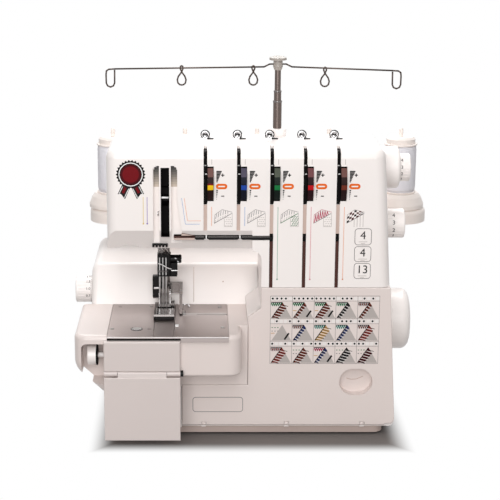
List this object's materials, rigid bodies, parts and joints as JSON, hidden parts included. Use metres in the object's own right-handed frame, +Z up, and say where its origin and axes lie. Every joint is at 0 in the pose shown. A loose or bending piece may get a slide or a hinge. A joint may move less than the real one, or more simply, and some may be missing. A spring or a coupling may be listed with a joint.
{
  "type": "overlock sewing machine",
  "caption": "Overlock sewing machine with thumb-wheel tensions, looper door, cloth plate, handwheel, spool stand and telescopic thread mast.",
  "frame": {"origin": "on the floor under the middle of the whole outline", "axes": "+Z up, -Y towards the operator, +X towards the handwheel"},
  "size_m": [0.41, 0.284, 0.404],
  "materials": {
    "shell": "smooth warm white moulding",
    "base": "grey moulded plastic",
    "rubber": "matt black",
    "casting": "die cast",
    "plate": "brushed",
    "steel": "ground",
    "bright": "plated",
    "black_metal": "blackened",
    "dial_dark": "dark moulded plastic",
    "bush": "sintered bronze",
    "belt": "reinforced belt",
    "tray": "cream moulding",
    "thread": "wound sewing thread",
    "inlet": "black moulded plastic"
  },
  "bodies": {
    "machine": {"front_cover": "shell", "rear_cover": "shell", "lower_housing": "shell", "bed_casing": "shell", "chip_guard": "shell", "base_tray": "base", "rubber_feet": "rubber", "frame_casting": "casting", "cloth_plate_left": "plate", "needle_plate": "plate", "cloth_plate_right": "plate", "plate_screws": "steel", "door_hinge_rod": "steel", "tension_shaft": "steel", "lower_knife": "steel", "motor": "steel", "mast_lower": "steel", "top_thread_guides": "bright", "flap_hinge_pin": "black_metal", "shaft_bushes": "bush", "timing_belt": "belt", "motor_belt": "belt", "spool_tray": "tray", "spool_pins": "tray", "spool_caps": "tray", "thread_spools": "thread", "power_inlet": "inlet"},
    "main_drive": {"main_shaft": "steel", "main_pulleys": "steel", "handwheel": "shell"},
    "arm_drive": {"arm_shaft": "steel"},
    "motor_drive": {"motor_pulley": "steel"},
    "needle_drive": {"needle_bar": "bright", "connecting_rod": "steel", "needle_clamp": "black_metal", "needles": "bright"},
    "take_up": {"take_up_lever": "bright"},
    "upper_looper_arm": {"upper_looper": "steel"},
    "lower_looper_arm": {"lower_looper": "steel"},
    "knife_slide": {"upper_knife": "steel"},
    "feed": {"feed_dogs": "steel"},
    "presser": {"presser_bar": "bright", "presser_foot": "bright"},
    "presser_lever": {"foot_lever": "steel"},
    "selector": {"selector_dial": "shell"},
    "stitch_length": {"length_dial": "shell"},
    "differential": {"differential_dial": "shell"},
    "cutting_width": {"width_knob": "shell"},
    "door": {"looper_door": "shell"},
    "flap": {"chip_flap": "shell"},
    "mast_slide_1": {"mast_middle": "steel"},
    "mast_slide_2": {"mast_upper": "steel", "mast_head": "shell", "guide_wire": "bright"},
    "switch": {"power_switch": "inlet"},
    "tension_1": {"tension_dial_1": "dial_dark"},
    "tension_2": {"tension_dial_2": "dial_dark"},
    "tension_3": {"tension_dial_3": "dial_dark"},
    "tension_4": {"tension_dial_4": "dial_dark"},
    "tension_5": {"tension_dial_5": "dial_dark"}
  },
  "joints": [
    {"name": "handwheel_turn", "type": "hinge", "parent": "machine", "child": "main_drive", "pos_m": [0.172, 0.004, 0.104], "axis": [1, 0, 0], "continuous": true},
    {"name": "arm_shaft_turn", "type": "hinge", "parent": "machine", "child": "arm_drive", "pos_m": [0, -0.045, 0.281], "axis": [1, 0, 0], "continuous": true},
    {"name": "motor_turn", "type": "hinge", "parent": "machine", "child": "motor_drive", "pos_m": [0.1, 0.088, 0.052], "axis": [1, 0, 0], "continuous": true},
    {"name": "needle_stroke", "type": "slide", "parent": "machine", "child": "needle_drive", "axis": [0, 0, 1], "range_m": [-0.01, 0.019]},
    {"name": "take_up_swing", "type": "hinge", "parent": "machine", "child": "take_up", "pos_m": [-0.105, -0.062, 0.265], "axis": [1, 0, 0], "range_deg": [-22, 22]},
    {"name": "upper_looper_swing", "type": "hinge", "parent": "machine", "child": "upper_looper_arm", "pos_m": [-0.14, -0.045, 0.076], "axis": [0, 1, 0], "range_deg": [-10, 10]},
    {"name": "lower_looper_swing", "type": "hinge", "parent": "machine", "child": "lower_looper_arm", "pos_m": [-0.064, -0.045, 0.076], "axis": [0, 1, 0], "range_deg": [-10, 10]},
    {"name": "upper_knife_stroke", "type": "slide", "parent": "machine", "child": "knife_slide", "axis": [0, 0, 1], "range_m": [-0.004, 0.007]},
    {"name": "feed_stroke", "type": "slide", "parent": "machine", "child": "feed", "axis": [0, 1, 0], "range_m": [-0.0025, 0.0025]},
    {"name": "foot_lever_lift", "type": "hinge", "parent": "machine", "child": "presser_lever", "pos_m": [-0.11, 0.003, 0.235], "axis": [0, -1, 0], "range_deg": [0, 62]},
    {"name": "presser_lift", "type": "slide", "parent": "machine", "child": "presser", "axis": [0, 0, 1], "range_m": [0, 0.007]},
    {"name": "selector_turn", "type": "hinge", "parent": "machine", "child": "selector", "pos_m": [0.162, -0.037, 0.287], "axis": [1, 0, 0], "range_deg": [-135, 135]},
    {"name": "stitch_length_turn", "type": "hinge", "parent": "machine", "child": "stitch_length", "pos_m": [0.158, -0.037, 0.225], "axis": [1, 0, 0], "range_deg": [-120, 120]},
    {"name": "differential_turn", "type": "hinge", "parent": "machine", "child": "differential", "pos_m": [-0.205, 0.013, 0.136], "axis": [1, 0, 0], "range_deg": [-100, 100]},
    {"name": "cutting_width_turn", "type": "hinge", "parent": "machine", "child": "cutting_width", "pos_m": [-0.183, -0.117, 0.101], "axis": [1, 0, 0], "range_deg": [-180, 180]},
    {"name": "door_open", "type": "hinge", "parent": "machine", "child": "door", "pos_m": [0, -0.095, 0.015], "axis": [1, 0, 0], "range_deg": [0, 88]},
    {"name": "flap_swing", "type": "hinge", "parent": "machine", "child": "flap", "pos_m": [-0.1645, -0.1376, 0.087], "axis": [-1, 0, 0], "range_deg": [0, 80]},
    {"name": "mast_lower_extend", "type": "slide", "parent": "machine", "child": "mast_slide_1", "axis": [0, 0, 1], "range_m": [-0.009, 0.07]},
    {"name": "mast_upper_extend", "type": "slide", "parent": "mast_slide_1", "child": "mast_slide_2", "axis": [0, 0, 1], "range_m": [-0.02, 0.065]},
    {"name": "power_rock", "type": "hinge", "parent": "machine", "child": "switch", "pos_m": [0.072, 0.129, 0.047], "axis": [1, 0, 0], "range_deg": [-7, 7]},
    {"name": "tension_turn_1", "type": "hinge", "parent": "machine", "child": "tension_1", "pos_m": [-0.0584, -0.08, 0.281], "axis": [1, 0, 0], "range_deg": [-150, 150]},
    {"name": "tension_turn_2", "type": "hinge", "parent": "machine", "child": "tension_2", "pos_m": [-0.02375, -0.08, 0.281], "axis": [1, 0, 0], "range_deg": [-150, 150]},
    {"name": "tension_turn_3", "type": "hinge", "parent": "machine", "child": "tension_3", "pos_m": [0.0109, -0.08, 0.281], "axis": [1, 0, 0], "range_deg": [-150, 150]},
    {"name": "tension_turn_4", "type": "hinge", "parent": "machine", "child": "tension_4", "pos_m": [0.04555, -0.08, 0.281], "axis": [1, 0, 0], "range_deg": [-150, 150]},
    {"name": "tension_turn_5", "type": "hinge", "parent": "machine", "child": "tension_5", "pos_m": [0.0802, -0.08, 0.281], "axis": [1, 0, 0], "range_deg": [-150, 150]}
  ],
  "couplings": [
    {"joint": "arm_shaft_turn", "follows": "handwheel_turn", "ratio": 1},
    {"joint": "motor_turn", "follows": "handwheel_turn", "ratio": 3},
    {"joint": "take_up_swing", "follows": "needle_stroke", "rad_per_m": -18.055},
    {"joint": "upper_looper_swing", "follows": "needle_stroke", "rad_per_m": 7.8239},
    {"joint": "lower_looper_swing", "follows": "needle_stroke", "rad_per_m": 7.8239},
    {"joint": "upper_knife_stroke", "follows": "needle_stroke", "ratio": 0.3},
    {"joint": "feed_stroke", "follows": "needle_stroke", "ratio": 0.11724},
    {"joint": "foot_lever_lift", "follows": "presser_lift", "rad_per_m": 149.6}
  ]
}
